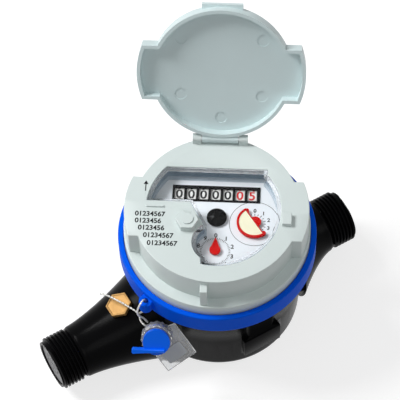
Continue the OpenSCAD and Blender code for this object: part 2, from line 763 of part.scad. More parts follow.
module lid_arm()
    translate([arm_in, 0, 0]) rotate([90, 0, 90]) linear_extrude(arm_out - arm_in) union() {
        translate([hinge_y, hinge_z]) circle(r = hinge_eye_r);
        polygon([[hinge_y - hinge_eye_r * 0.2, hinge_z], [hinge_y + hinge_eye_r, hinge_z],
                 [hinge_y + hinge_eye_r, lid_z + 2.6], [hinge_y - 2, lid_z + 4.4],
                 [lid_centre_y + lid_r - 2.2, lid_z + 4.4], [lid_centre_y + lid_r - 2.2, lid_z + 0.6],
                 [hinge_y - hinge_eye_r * 0.6, lid_z + 0.6]]);
    }

// Lid as closed
module lid_closed()
    difference() {
        union() {
            translate([0, 0, lid_z]) linear_extrude(lid_h) lid_outline(0);
            translate([-lid_tab_w / 2, lid_centre_y - lid_r - lid_tab_l, lid_z + lid_h - 2])
                cube([lid_tab_w, 2 * lid_tab_l + lid_wall, 2]);
            lid_arm();
            mirror([1, 0, 0]) lid_arm();
        }
        translate([0, 0, lid_z - 1]) linear_extrude(lid_h - lid_wall + 1) lid_outline(-lid_wall);
        for (p = lid_marks) translate([p[0], p[1], lid_z + lid_h - lid_wall - eps])
            cylinder(r = lid_mark_r, h = lid_mark_depth, $fn = 48);
        translate([-2 * ear_out, hinge_y, hinge_z]) rotate([0, 90, 0])
            cylinder(r = hinge_pin_r + run, h = 4 * ear_out, $fn = 48);
    }

module lid()
    color([0.78, 0.83, 0.83]) head() translate([0, hinge_y, hinge_z]) rotate([-lid_open, 0, 0])
        translate([0, -hinge_y, -hinge_z]) lid_closed();

// Twist seal: clear toothed body with its flag, and the blue rotor in it
module seal_housing()
    color([0.85, 0.9, 0.93, 0.5]) at_seal() difference() {
        union() {
            linear_extrude(seal_body_t) polygon([for (i = [0:2 * seal_teeth - 1])
                let (a = 180 / seal_teeth * i, r = i % 2 == 0 ? seal_r : seal_r - seal_tooth)
                r * [cos(a), sin(a)]]);
            linear_extrude(flag_t) polygon(flag_outline);
        }
        translate([0, 0, seal_floor]) cylinder(r = rotor_r, h = seal_body_t);
    }

module seal_rotor()
    color([0.05, 0.2, 0.6]) at_seal() {
        translate([0, 0, seal_floor]) cylinder(r = rotor_r - run, h = seal_body_t - seal_floor + 0.6);
        translate([0, 0, seal_body_t + 0.6 - eps]) cylinder(r = rotor_cap_r, h = rotor_cap_h);
        translate([0, rotor_wing_y, seal_body_t + 0.6]) linear_extrude(rotor_wing_h) hull() {
            translate([-10.7, 0]) circle(r = 1);
            translate([3.4, 0]) circle(r = 0.8);
        }
    }

module seal_token()
    color([0.75, 0.58, 0.33]) translate([token_x, 0, axis_height]) rotate([token_lean, 0, 0])
        translate([0, 0, flare(token_t_along, inlet_flare) + 0.35]) rotate([0, -token_slope, 0])
            rotate(30) cylinder(r = token_r, h = token_t, $fn = 6);

// Cord of round section along a route, as a tube with square ends
function ring_at(p, dir, r, sides) =
    let (u = dir / norm(dir), a0 = abs(u[2]) < 0.9 ? cross(u, [0, 0, 1]) : cross(u, [1, 0, 0]),
         a = a0 / norm(a0), b = cross(u, a))
    [for (i = [0:sides - 1]) p + r * (cos(360 / sides * i) * a + sin(360 / sides * i) * b)];

module tube(route, d, sides = 8)
    let (n = len(route),
         dirs = [for (i = [0:n - 1]) route[min(i + 1, n - 1)] - route[max(i - 1, 0)]],
         pts = [for (i = [0:n - 1]) each ring_at(route[i], dirs[i], d / 2, sides)],
         walls = [for (i = [0:n - 2], k = [0:sides - 1])
             let (n1 = (k + 1) % sides, low = i * sides, high = low + sides)
             [low + k, low + n1, high + n1, high + k]],
         ends = [[for (k = [sides - 1:-1:0]) k], [for (k = [0:sides - 1]) (n - 1) * sides + k]])
    polyhedron(pts, concat(walls, ends));

module seal_wire_loop() color([0.6, 0.6, 0.6]) tube(loop_route, wire_d);

module seal_wire_tail() color([0.6, 0.6, 0.6]) tube(tail_route, wire_d);

body();
inlet_strainer();
chamber_housing();
chamber_cover();
impeller_pin();
impeller();
drive_magnet();
pressure_plate_seal();
pressure_plate();
lock_ring();
register_can();
magnet_shield_ring();
register_frame();
star_arbor();
follower_magnet();
star_indicator();
small_pointer_arbor();
small_pointer();
idler_gear();
large_pointer_arbor();
large_pointer();
drum_shaft();
pinion_shaft();
dial_plate();
counter_mask();
window();
shroud();
hinge_pin();
lid();
seal_housing();
seal_rotor();
seal_token();
seal_wire_loop();
seal_wire_tail();
for (k = [1:DRUMS]) number_drum(k);
for (k = [1:DRUMS - 1]) carry_pinion(k);
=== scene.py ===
"""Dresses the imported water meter: finishes, threads, print, numerals, wires, camera and studio."""

import json
import logging
import math
from dataclasses import dataclass
from enum import Enum
from typing import Iterable, Mapping, Sequence

import bmesh
import bpy
from bmesh.types import BMesh
from bpy.types import Material, Node, NodeTree, Object
from bpy.types import NodeSocket as Socket
from mathutils import Matrix, Vector

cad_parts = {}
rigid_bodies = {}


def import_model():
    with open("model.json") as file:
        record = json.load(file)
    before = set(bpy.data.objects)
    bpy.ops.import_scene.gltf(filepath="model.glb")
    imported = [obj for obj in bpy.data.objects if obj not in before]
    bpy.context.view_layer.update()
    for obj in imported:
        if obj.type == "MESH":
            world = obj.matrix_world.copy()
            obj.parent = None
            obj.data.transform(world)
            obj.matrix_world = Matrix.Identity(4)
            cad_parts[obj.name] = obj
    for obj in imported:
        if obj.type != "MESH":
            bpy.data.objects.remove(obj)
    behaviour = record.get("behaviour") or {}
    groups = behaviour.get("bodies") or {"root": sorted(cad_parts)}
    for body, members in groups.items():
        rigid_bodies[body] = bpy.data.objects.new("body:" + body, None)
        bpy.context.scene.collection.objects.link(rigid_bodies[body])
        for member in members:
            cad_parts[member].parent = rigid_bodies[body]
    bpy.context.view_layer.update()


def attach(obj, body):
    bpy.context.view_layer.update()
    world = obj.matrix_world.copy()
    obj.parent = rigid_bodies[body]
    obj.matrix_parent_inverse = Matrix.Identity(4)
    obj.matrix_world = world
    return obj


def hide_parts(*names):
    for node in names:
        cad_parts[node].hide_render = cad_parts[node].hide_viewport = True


log = logging.getLogger("water_meter")

Point = tuple[float, float, float]
Spot = tuple[float, float]
Colour = tuple[float, float, float]

MM = 0.001
WHITE = (1.0, 1.0, 1.0, 1.0)

# Copies of nodes: points closer than MERGE_M are one, and faces within FLAT_DEG are one flat.
MERGE_M = 2e-6
FLAT_DEG = 0.6

# Rounding: strips across it, edge length beside its width, and the smallest face it may cut.
ROUND_STRIPS = 2
ROUND_REACH = 1.2
ROUND_FACE_M2 = 3e-7

# Shading: faces with more corners are flat, edges that turn more are sharp, depth of a bump.
FLAT_CORNERS = 8
SHARP_DEG = 35.0
BUMP_M = 0.0002

# Places of the colour sockets on a Mix node.
MIX_FACTOR, MIX_FIRST, MIX_SECOND, MIX_RESULT = 0, 6, 7, 2


class Slot(Enum):
    """Material slots of the record, one for each finish of the meter."""

    BODY = "body_black"
    STRAINER = "strainer_grey"
    INNER = "inner_white"
    STEEL = "steel"
    MAGNET = "magnet"
    RUBBER = "rubber_black"
    PLATE = "plate_grey"
    RING = "ring_blue"
    STAR = "star_black"
    POINTER = "pointer_red"
    DIAL = "dial_white"
    WINDOW = "window_clear"
    COVER = "cover_grey"
    LID = "lid_grey"
    SEAL_CLEAR = "seal_clear"
    SEAL_BLUE = "seal_blue"
    TOKEN = "token_brass"
    WIRE = "wire"
    DRUM = "drum_white"
    MASK = "mask_black"


class Ink(Enum):
    """Printing inks on the dial, the drums, the cover and the flag."""

    BLACK = "ink_black"
    RED = "ink_red"
    CREAM = "ink_cream"
    SILVER = "ink_silver"


class Rider(Enum):
    """Bodies of the record that the dressed pieces ride on."""

    METER = "meter"
    LID = "lid"
    STAR = "star"
    LARGE_POINTER = "large_pointer"


def shift(x: float, y: float, z: float = 0.0) -> Matrix:
    """Return a move given in millimetres."""
    return Matrix.Translation((x * MM, y * MM, z * MM))


def turn(degrees: float, axis: str = "Z") -> Matrix:
    """Return a turn about an axis through the origin."""
    return Matrix.Rotation(math.radians(degrees), 4, axis)


def opaque(colour: Colour) -> tuple[float, float, float, float]:
    """Return a colour with full alpha."""
    return (*colour, 1.0)


def put(name: str, data: bpy.types.ID) -> Object:
    """Return a new object of the scene that shows the data."""
    obj = bpy.data.objects.new(name, data)
    bpy.context.scene.collection.objects.link(obj)
    return obj


@dataclass(frozen=True)
class HeadFrame:
    """Places on the register head, which is turned about the meter's axis, in millimetres."""

    turn_deg: float = -33.0
    top_z: float = 86.8
    dial_top: float = 77.2
    hinge_y: float = 37.0
    hinge_z: float = 89.1
    lid_open_deg: float = 120.0
    small_at: Spot = (0.0, -17.47)
    large_at: Spot = (17.68, -2.08)

    def matrix(self) -> Matrix:
        """Return the turn from the head's directions to the frame's."""
        return turn(self.turn_deg)

    def hinge_matrix(self) -> Matrix:
        """Return the move from the hinge's directions, on the open lid, to the frame."""
        hinge = shift(0.0, self.hinge_y, self.hinge_z)
        return self.matrix() @ hinge @ turn(-self.lid_open_deg, "X")


HEAD = HeadFrame()


class NodeBench:
    """A node tree with short calls that place and join its nodes."""

    def __init__(self, tree: NodeTree) -> None:
        """Keep the tree that the nodes go into."""
        self.tree = tree

    def node(self, kind: str, **inputs: object) -> Node:
        """Add a node of a type, set its unlinked inputs by name, and return it."""
        made = self.tree.nodes.new(kind)
        for name, value in inputs.items():
            made.inputs[name].default_value = value
        return made

    def join(self, out: Socket, into: Socket) -> None:
        """Link one socket to another."""
        self.tree.links.new(out, into)

    def feed(self, value: Socket | float | Sequence[float], into: Socket) -> None:
        """Link a socket to another, or give that other one a fixed value."""
        if isinstance(value, Socket):
            self.join(value, into)
        else:
            into.default_value = value

    def maths(self, operation: str, first: Socket, second: Socket | float) -> Socket:
        """Combine two values by a Math node's operation and return the result."""
        made = self.node("ShaderNodeMath")
        made.operation = operation
        self.feed(first, made.inputs[0])
        self.feed(second, made.inputs[1])
        return made.outputs[0]

    def noise(self, vector: Socket, scale: Socket, detail: float, roughness: float = 0.5) -> Socket:
        """Add a noise texture on given coordinates and return its value."""
        made = self.node("ShaderNodeTexNoise", Detail=detail, Roughness=roughness)
        self.join(vector, made.inputs["Vector"])
        self.join(scale, made.inputs["Scale"])
        return made.outputs["Fac"]

    def mix(self, factor: Socket, first: Socket | Sequence[float], second: Socket) -> Socket:
        """Mix two colours by the second one's share and return the result."""
        made = self.node("ShaderNodeMix")
        made.data_type = "RGBA"
        self.join(factor, made.inputs[MIX_FACTOR])
        self.feed(first, made.inputs[MIX_FIRST])
        self.join(second, made.inputs[MIX_SECOND])
        return made.outputs[MIX_RESULT]

    def group(self, tree: NodeTree, vector: Socket, values: Mapping[str, object]) -> Node:
        """Place a shared group on given coordinates, with this tree's values by socket name."""
        made = self.node("ShaderNodeGroup")
        made.node_tree = tree
        self.join(vector, made.inputs["Vector"])
        for name, value in values.items():
            made.inputs[name].default_value = value
        return made


def new_group(name: str, colours: Sequence[str], values: Sequence[str]) -> NodeTree:
    """Start a node group that puts out a colour, a roughness and a height.

    Args:
        name: Name of the group.
        colours: Names of its colour inputs.
        values: Names of its number inputs.

    Returns:
        The group's tree, with sockets and no nodes.
    """
    group = bpy.data.node_groups.new(name, "ShaderNodeTree")
    ins = [("Vector", "NodeSocketVector")]
    ins += [(colour, "NodeSocketColor") for colour in colours]
    ins += [(value, "NodeSocketFloat") for value in values]
    outs = [("Colour", "NodeSocketColor")]
    outs += [(value, "NodeSocketFloat") for value in ("Roughness", "Height")]
    for side, sockets in (("INPUT", ins), ("OUTPUT", outs)):
        for socket, kind in sockets:
            group.interface.new_socket(name=socket, in_out=side, socket_type=kind)
    return group


def moulded_grain() -> NodeTree:
    """Return the shared group that mottles a moulded surface and gives its fine grain.

    Returns:
        A group with a mottled colour, a roughness and a height.
    """
    title, broad_share, fleck_share, fleck_over = "Moulded grain", 0.035, 1.7, 0.68
    found = bpy.data.node_groups.get(title)
    if found:
        return found
    values = ("Grain scale", "Mottle", "Fleck", "Roughness", "Rough spread")
    group = new_group(title, ("Colour", "Fleck colour"), values)
    bench = NodeBench(group)
    ins = bench.node("NodeGroupInput").outputs
    outs = bench.node("NodeGroupOutput").inputs
    vector, scale = ins["Vector"], ins["Grain scale"]
    fine = bench.noise(vector, scale, 3.0, 0.6)
    broad = bench.noise(vector, bench.maths("MULTIPLY", scale, broad_share), 2.0)
    lift = bench.maths("SUBTRACT", broad, 0.5)
    value = bench.maths("ADD", bench.maths("MULTIPLY", lift, ins["Mottle"]), 1.0)
    shade = bench.node("ShaderNodeHueSaturation")
    bench.join(value, shade.inputs["Value"])
    bench.join(ins["Colour"], shade.inputs["Color"])
    fleck = bench.noise(vector, bench.maths("MULTIPLY", scale, fleck_share), 1.0)
    sparse = bench.maths("GREATER_THAN", fleck, fleck_over)
    share = bench.maths("MULTIPLY", sparse, ins["Fleck"])
    bench.join(bench.mix(share, shade.outputs["Color"], ins["Fleck colour"]), outs["Colour"])
    swing = bench.maths("MULTIPLY", bench.maths("SUBTRACT", fine, 0.5), ins["Rough spread"])
    bench.join(bench.maths("ADD", ins["Roughness"], swing), outs["Roughness"])
    bench.join(fine, outs["Height"])
    return group


def drawn_metal() -> NodeTree:
    """Return the shared group for metal with fine drawn lines and dull patches.

    Returns:
        A group with a colour, a roughness and a height.
    """
    title, patch_share, rough_spread = "Drawn metal", 0.12, 0.25
    found = bpy.data.node_groups.get(title)
    if found:
        return found
    group = new_group(title, ("Colour", "Dull colour"), ("Line scale", "Dullness", "Roughness"))
    bench = NodeBench(group)
    ins = bench.node("NodeGroupInput").outputs
    outs = bench.node("NodeGroupOutput").inputs
    vector, scale = ins["Vector"], ins["Line scale"]
    lines = bench.noise(vector, scale, 2.0)
    patch = bench.noise(vector, bench.maths("MULTIPLY", scale, patch_share), 4.0, 0.65)
    share = bench.maths("MULTIPLY", patch, ins["Dullness"])
    bench.join(bench.mix(share, ins["Colour"], ins["Dull colour"]), outs["Colour"])
    swing = bench.maths("MULTIPLY", bench.maths("SUBTRACT", lines, 0.5), rough_spread)
    bench.join(bench.maths("ADD", ins["Roughness"], swing), outs["Roughness"])
    bench.join(lines, outs["Height"])
    return group


def surface_bench(name: str) -> tuple[Material, NodeBench, Node, Node]:
    """Start a material; return it, its bench, its Principled shader and its coordinate node."""
    material = bpy.data.materials.new(name)
    material.use_nodes = True
    bench = NodeBench(material.node_tree)
    shader = next(n for n in material.node_tree.nodes if n.type == "BSDF_PRINCIPLED")
    return material, bench, shader, bench.node("ShaderNodeTexCoord")


def join_surface(bench: NodeBench, source: Node, shader: Node, relief: float) -> None:
    """Join a group's colour, roughness and height to a shader, with a bump's strength."""
    bump = bench.node("ShaderNodeBump", Strength=relief, Distance=BUMP_M)
    bench.join(source.outputs["Height"], bump.inputs["Height"])
    bench.join(source.outputs["Colour"], shader.inputs["Base Color"])
    bench.join(source.outputs["Roughness"], shader.inputs["Roughness"])
    bench.join(bump.outputs["Normal"], shader.inputs["Normal"])


@dataclass(frozen=True)
class Plastic:
    """Moulded plastic, rubber, print or ceramic: a mottled colour with a fine grain."""

    colour: Colour
    roughness: float = 0.4
    mottle: float = 0.12
    grain_scale: float = 1400.0
    grain: float = 0.06
    rough_spread: float = 0.12
    fleck: float = 0.0
    fleck_colour: Colour = (0.2, 0.2, 0.2)
    shine: float = 0.5

    def build(self, name: str) -> Material:
        """Return the finished material, on Object coordinates.

        Args:
            name: Name of the material.

        Returns:
            The new material.
        """
        material, bench, shader, coords = surface_bench(name)
        values = {
            "Colour": opaque(self.colour), "Fleck colour": opaque(self.fleck_colour),
            "Grain scale": self.grain_scale, "Mottle": self.mottle, "Fleck": self.fleck,
            "Roughness": self.roughness, "Rough spread": self.rough_spread,
        }
        grain = bench.group(moulded_grain(), coords.outputs["Object"], values)
        join_surface(bench, grain, shader, self.grain)
        shader.inputs["Specular IOR Level"].default_value = self.shine
        return material


@dataclass(frozen=True)
class Metal:
    """Metal with drawn lines and dull patches."""

    colour: Colour
    dull_colour: Colour
    roughness: float = 0.35
    dullness: float = 0.5
    line_scale: float = 2500.0
    stretch: Point = (1.0, 1.0, 1.0)
    relief: float = 0.1

    def build(self, name: str) -> Material:
        """Return the finished material, on stretched Object coordinates.

        Args:
            name: Name of the material.

        Returns:
            The new material.
        """
        material, bench, shader, coords = surface_bench(name)
        place = bench.node("ShaderNodeMapping", Scale=self.stretch)
        bench.join(coords.outputs["Object"], place.inputs["Vector"])
        values = {
            "Colour": opaque(self.colour), "Dull colour": opaque(self.dull_colour),
            "Line scale": self.line_scale, "Dullness": self.dullness, "Roughness": self.roughness,
        }
        drawn = bench.group(drawn_metal(), place.outputs["Vector"], values)
        join_surface(bench, drawn, shader, self.relief)
        shader.inputs["Metallic"].default_value = 1.0
        return material


@dataclass(frozen=True)
class Clear:
    """Clear moulded plastic that lets the lamps' light through, with painted shade on its upright
    walls.
    """

    colour: Colour
    roughness: float = 0.03
    ior: float = 1.49
    mottle: float = 0.04
    haze_scale: float = 300.0
    # Colour laid on the upright walls: painted shade that darkens them below the clear top.
    wall_colour: Colour = (0.97, 0.98, 0.99)
    transmission: float = 1.0

    def build(self, name: str) -> Material:
        """Return the finished material, whose shadow and diffuse rays pass straight through.

        Args:
            name: Name of the material.

        Returns:
            The new material.
        """
        material, bench, shader, coords = surface_bench(name)
        values = {
            "Colour": opaque(self.colour), "Grain scale": self.haze_scale, "Mottle": self.mottle,
            "Roughness": self.roughness, "Rough spread": self.roughness,
        }
        grain = bench.group(moulded_grain(), coords.outputs["Object"], values)
        # Upright walls take the wall shade colour and level faces keep their own: painted shade on
        # the walls.
        parts = bench.node("ShaderNodeSeparateXYZ")
        bench.join(coords.outputs["Normal"], parts.inputs[0])
        level = bench.maths("POWER", parts.outputs["Z"], 2.0)
        wall_shaded_tint = bench.mix(level, opaque(self.wall_colour), grain.outputs["Colour"])
        bench.join(wall_shaded_tint, shader.inputs["Base Color"])
        bench.join(grain.outputs["Roughness"], shader.inputs["Roughness"])
        shader.inputs["Transmission Weight"].default_value = self.transmission
        shader.inputs["IOR"].default_value = self.ior
        path = bench.node("ShaderNodeLightPath").outputs
        through = bench.node("ShaderNodeBsdfTransparent")
        blend = bench.node("ShaderNodeMixShader")
        passing = bench.maths("MAXIMUM", path["Is Shadow Ray"], path["Is Diffuse Ray"])
        bench.join(passing, blend.inputs[0])
        bench.join(shader.outputs["BSDF"], blend.inputs[1])
        bench.join(through.outputs["BSDF"], blend.inputs[2])
        end = next(n for n in material.node_tree.nodes if n.type == "OUTPUT_MATERIAL")
        bench.join(blend.outputs["Shader"], end.inputs["Surface"])
        return material


Finish = Plastic | Metal | Clear

FINISHES: dict[Slot | Ink, Finish] = {
    Slot.BODY: Plastic(
        (0.002, 0.002, 0.0023), 0.23, 0.4, 1100.0, 0.12, 0.15, 0.15, (0.006, 0.006, 0.007),
        shine=0.026,
    ),
    # Strainer grey, darker than its plastic to stand in for the shade deep in the bore: partly
    # painted shade.
    Slot.STRAINER: Plastic((0.2, 0.2, 0.205), 0.5),
    Slot.INNER: Plastic((0.8, 0.81, 0.78), 0.45),
    Slot.STEEL: Metal(
        (0.7, 0.71, 0.73), (0.45, 0.45, 0.46), 0.3, 0.4, 2500.0, (0.08, 1.0, 1.0),
    ),
    Slot.MAGNET: Plastic(
        (0.03, 0.03, 0.034), 0.6, 0.4, 1600.0, 0.25, 0.2, 0.3, (0.09, 0.09, 0.1),
    ),
    Slot.RUBBER: Plastic((0.012, 0.012, 0.012), 0.7, 0.3, 900.0, 0.2),
    Slot.PLATE: Plastic((0.5, 0.5, 0.48), 0.5),
    Slot.RING: Plastic((0.001, 0.095, 0.74), 0.42, 0.14, 1500.0, 0.05, 0.1, shine=0.02),
    Slot.STAR: Plastic((0.003, 0.003, 0.003), 0.06, 0.2, 1500.0, 0.0, 0.02, shine=0.05),
    Slot.POINTER: Plastic((0.62, 0.004, 0.004), 0.25, 0.15, 1500.0, 0.03, 0.08, shine=0.05),
    Slot.DIAL: Plastic((0.84, 0.88, 0.92), 0.4, 0.03, 1200.0, 0.02, 0.06),
    # The window's upright walls are painted blue-grey: painted shade.
    Slot.WINDOW: Clear((0.97, 0.985, 1.0), 0.02, 1.16, wall_colour=(0.4, 0.5, 0.6)),
    Slot.COVER: Plastic((0.6, 0.67, 0.66), 0.42, 0.06, 1700.0, 0.06, 0.1),
    Slot.LID: Plastic((0.6, 0.71, 0.72), 0.4, 0.06, 1700.0, 0.06, 0.1),
    Slot.SEAL_CLEAR: Clear((0.96, 0.98, 0.99), 0.06, transmission=0.82),
    Slot.SEAL_BLUE: Plastic((0.001, 0.13, 0.85), 0.3, 0.06, 1500.0, 0.02, 0.06, shine=0.12),
    Slot.TOKEN: Metal((0.27, 0.16, 0.06), (0.17, 0.095, 0.035), 0.5, 0.7, 1800.0, relief=0.25),
    Slot.WIRE: Metal((0.62, 0.62, 0.6), (0.3, 0.29, 0.27), 0.38, 0.6, 3000.0),
    Slot.DRUM: Plastic((0.82, 0.82, 0.8), 0.45, 0.06, 1400.0, 0.03),
    # Black of the counter mask; its bars between the drums are painted shade.
    Slot.MASK: Plastic((0.008, 0.008, 0.009), 0.35, 0.3, 1400.0, 0.05, shine=0.05),
    Ink.BLACK: Plastic((0.012, 0.012, 0.014), 0.5, 0.3, 2500.0, 0.0, shine=0.1),
    Ink.RED: Plastic((0.6, 0.006, 0.008), 0.45, 0.2, 2500.0, 0.0),
    Ink.CREAM: Plastic((0.92, 0.88, 0.64), 0.4, 0.08, 1800.0, 0.03),
    Ink.SILVER: Plastic((0.42, 0.44, 0.46), 0.35, 0.15, 2200.0, 0.04),
}


class FinishShelf:
    """Materials by finish, each made once."""

    def __init__(self) -> None:
        """Start with an empty shelf."""
        self.made: dict[Slot | Ink, Material] = {}

    def get(self, finish: Slot | Ink) -> Material:
        """Return a finish's material, made on first use."""
        if finish not in self.made:
            self.made[finish] = FINISHES[finish].build(finish.value)
        return self.made[finish]

    def dress(self, obj: Object, finish: Slot | Ink) -> None:
        """Give every face of an object one finish."""
        obj.data.materials.clear()
        obj.data.materials.append(self.get(finish))

    def dress_nodes(self, slot: Slot, *nodes: str) -> None:
        """Give CAD nodes one finish and leave their meshes as they are cut."""
        for node in nodes:
            self.dress(bpy.data.objects[node], slot)


SHELF = FinishShelf()


def new_piece(
    name: str, bm: BMesh, slot: Slot, rider: str = Rider.METER.value, ink: Ink | None = None,
    place: Matrix | None = None, sharp_deg: float = SHARP_DEG,
) -> Object:
    """Put a shape in the scene as a smooth piece that rides on a body.

    Its many-cornered faces stay flat.

    Args:
        name: Name of the piece.
        bm: Its shape, which is freed.
        slot: The record's material slot that it belongs to.
        rider: Body that it moves with.
        ink: Its finish, if that isn't the slot's own.
        place: Move from the shape's coordinates to the frame's, or None.
        sharp_deg: Edges that turn more than this stay sharp.

    Returns:
        The new object.
    """
    if place is not None:
        bmesh.ops.transform(bm, matrix=place, verts=bm.verts)
    mesh = bpy.data.meshes.new(name)
    bm.to_mesh(mesh)
    bm.free()
    smooth = [p.loop_total <= FLAT_CORNERS for p in mesh.polygons]
    mesh.polygons.foreach_set("use_smooth", smooth)
    mesh.set_sharp_from_angle(angle=math.radians(sharp_deg))
    obj = put(name, mesh)
    SHELF.dress(obj, ink or slot)
    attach(obj, rider)
    return obj


def merged_copy(node: str) -> BMesh:
    """Return a node's solid with its loose triangles joined and its flat faces made whole.

    Args:
        node: Name of the CAD node.

    Returns:
        A bmesh in the frame's coordinates.
    """
    bm = bmesh.new()
    bm.from_mesh(bpy.data.objects[node].data)
    bmesh.ops.remove_doubles(bm, verts=bm.verts, dist=MERGE_M)
    bmesh.ops.dissolve_limit(
        bm, angle_limit=math.radians(FLAT_DEG), verts=bm.verts, edges=bm.edges,
    )
    bmesh.ops.recalc_face_normals(bm, faces=bm.faces)
    return bm


def round_edges(bm: BMesh, width: float, angle_deg: float) -> None:
    """Round the outward edges of a solid as a mould does.

    Args:
        bm: The solid.
        width: Width of the rounding in millimetres.
        angle_deg: Edges that turn more than this are rounded.
    """
    limit = math.radians(angle_deg)
    shortest = ROUND_REACH * width * MM
    edges = [
        e for e in bm.edges
        if len(e.link_faces) == 2 and e.is_convex and e.calc_face_angle(0.0) > limit
        and e.calc_length() > shortest
        and min(f.calc_area() for f in e.link_faces) > ROUND_FACE_M2
    ]
    bmesh.ops.bevel(
        bm, geom=edges, offset=width * MM, offset_type="OFFSET", segments=ROUND_STRIPS, profile=0.5,
        affect="EDGES", clamp_overlap=False, material=-1, loop_slide=True,
    )
    bmesh.ops.recalc_face_normals(bm, faces=bm.faces)


def rounded_node(
    node: str, slot: Slot, width: float, rider: Rider = Rider.METER,
    angle_deg: float = 40.0, sharp_deg: float = 20.0,
) -> None:
    """Replace a node by a copy of itself with rounded edges.

    Args:
        node: Name of the CAD node.
        slot: Its finish.
        width: Width of the rounding in millimetres.
        rider: Body that it moves with.
        angle_deg: Edges that turn more than this are rounded.
        sharp_deg: Edges that turn more than this stay sharp.
    """
    bm = merged_copy(node)
    round_edges(bm, width, angle_deg)
    piece = new_piece(f"{node}_rounded", bm, slot, rider.value, sharp_deg=sharp_deg)
    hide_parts(node)


def text_bmesh(words: str, size: float, weight: float = 0.03) -> BMesh:
    """Return flat lettering about the origin, in the XY plane.

    Args:
        words: The characters.
        size: Height of the type in millimetres.
        weight: Thickening of the strokes beside the height.

    Returns:
        A bmesh of the filled outlines, in metres.
    """
    curve = bpy.data.curves.new("lettering", "FONT")
    curve.body = words
    curve.size = size * MM
    curve.align_x = curve.align_y = "CENTER"
    curve.resolution_u = 6
    curve.offset = weight * size * MM
    obj = put("lettering", curve)
    depsgraph = bpy.context.evaluated_depsgraph_get()
    mesh = bpy.data.meshes.new_from_object(obj.evaluated_get(depsgraph))
    bm = bmesh.new()
    bm.from_mesh(mesh)
    bpy.data.objects.remove(obj)
    bpy.data.curves.remove(curve)
    bpy.data.meshes.remove(mesh)
    return bm


def oblong(length: float, width: float) -> BMesh:
    """Return a flat rectangle about the origin, from its sides in millimetres."""
    bm = bmesh.new()
    bmesh.ops.create_grid(bm, x_segments=1, y_segments=1, size=0.5)
    bmesh.ops.scale(bm, vec=(length * MM, width * MM, 1.0), verts=bm.verts)
    return bm


class PrintSheet:
    """Printed marks gathered on one plane, in millimetres of the plane's own directions."""

    def __init__(self, name: str) -> None:
        """Start an empty sheet."""
        self.name = name
        self.bm = bmesh.new()

    def add(self, part: BMesh, place: Matrix) -> None:
        """Add a flat shape, moved into place; the shape is freed."""
        bmesh.ops.transform(part, matrix=place, verts=part.verts)
        mesh = bpy.data.meshes.new("mark")
        part.to_mesh(mesh)
        part.free()
        self.bm.from_mesh(mesh)
        bpy.data.meshes.remove(mesh)

    def words(self, words: str, at: Spot, size: float) -> None:
        """Print characters of a given height, centred on a spot."""
        self.add(text_bmesh(words, size), shift(*at))

    def ring(self, centre: Spot, radius: float, width: float, steps: int = 90) -> None:
        """Print a circle.

        Args:
            centre: Its centre.
            radius: Radius of the line's middle.
            width: Width of the line.
            steps: Straight parts round it.
        """
        part = bmesh.new()
        inner = part.verts.new(((radius - width / 2) * MM, 0.0, 0.0))
        outer = part.verts.new(((radius + width / 2) * MM, 0.0, 0.0))
        edge = part.edges.new((inner, outer))
        bmesh.ops.spin(
            part, geom=[inner, outer, edge], cent=(0, 0, 0), axis=(0, 0, 1), angle=math.tau,
            steps=steps, use_merge=True,
        )
        self.add(part, shift(*centre))

    def bar(self, at: Spot, length: float, width: float, turn_deg: float) -> None:
        """Print a short straight line, centred on a spot."""
        self.add(oblong(length, width), shift(*at) @ turn(turn_deg))

    def arrow(self, at: Spot, length: float) -> None:
        """Print an arrow up the sheet; its shaft and head are shares of its length."""
        x, y = at
        shaft, width, drop, head_r, rise = (f * length for f in (0.7, 0.09, 0.15, 0.24, 0.28))
        self.bar((x, y - drop), shaft, width, 90.0)
        head = bmesh.new()
        bmesh.ops.create_circle(head, cap_ends=True, segments=3, radius=head_r * MM)
        self.add(head, shift(x, y + rise))

    def piece(
        self, place: Matrix, ink: Ink, slot: Slot, rider: str = Rider.METER.value,
    ) -> None:
        """Lay the sheet in the frame as one thin piece, in the slot of what carries it."""
        new_piece(self.name, self.bm, slot, rider, ink, place)


@dataclass(frozen=True)
class PhotoCamera:
    """Camera at the photograph's viewing angle, from a fit to the outlines."""

    azimuth_deg: float = -28.81
    elevation_deg: float = 60.69
    distance: float = 0.999
    target: Point = (0.0, 0.0, 0.0535)
    focal_px: float = 2090.9
    image_px: float = 400.0
    target_right_px: float = 17.5
    target_down_px: float = 43.7
    roll_deg: float = -1.55
    sensor_mm: float = 36.0
    clip_start: float = 0.01

    def build(self) -> None:
        """Place the camera and make it the scene's own."""
        a, e, r = (
            math.radians(x) for x in (self.azimuth_deg, self.elevation_deg, self.roll_deg)
        )
        back = Vector((math.sin(a) * math.cos(e), -math.cos(a) * math.cos(e), math.sin(e)))
        right = Vector((math.cos(a), math.sin(a), 0.0))
        up = back.cross(right)
        side = math.cos(r) * right + math.sin(r) * up
        over = math.cos(r) * up - math.sin(r) * right
        look = over * (self.target_down_px / self.focal_px) - back
        look -= side * (self.target_right_px / self.focal_px)
        look.normalize()
        side = look.cross(over).normalized()
        over = side.cross(look)
        data = bpy.data.cameras.new("photo_camera")
        data.sensor_width = self.sensor_mm
        data.lens = self.focal_px / self.image_px * self.sensor_mm
        data.clip_start = self.clip_start
        obj = put("photo_camera", data)
        facing = Matrix((side, over, -look)).transposed().to_4x4()
        stand = Matrix.Translation(Vector(self.target) + back * self.distance)
        obj.matrix_world = stand @ facing
        bpy.context.scene.camera = obj


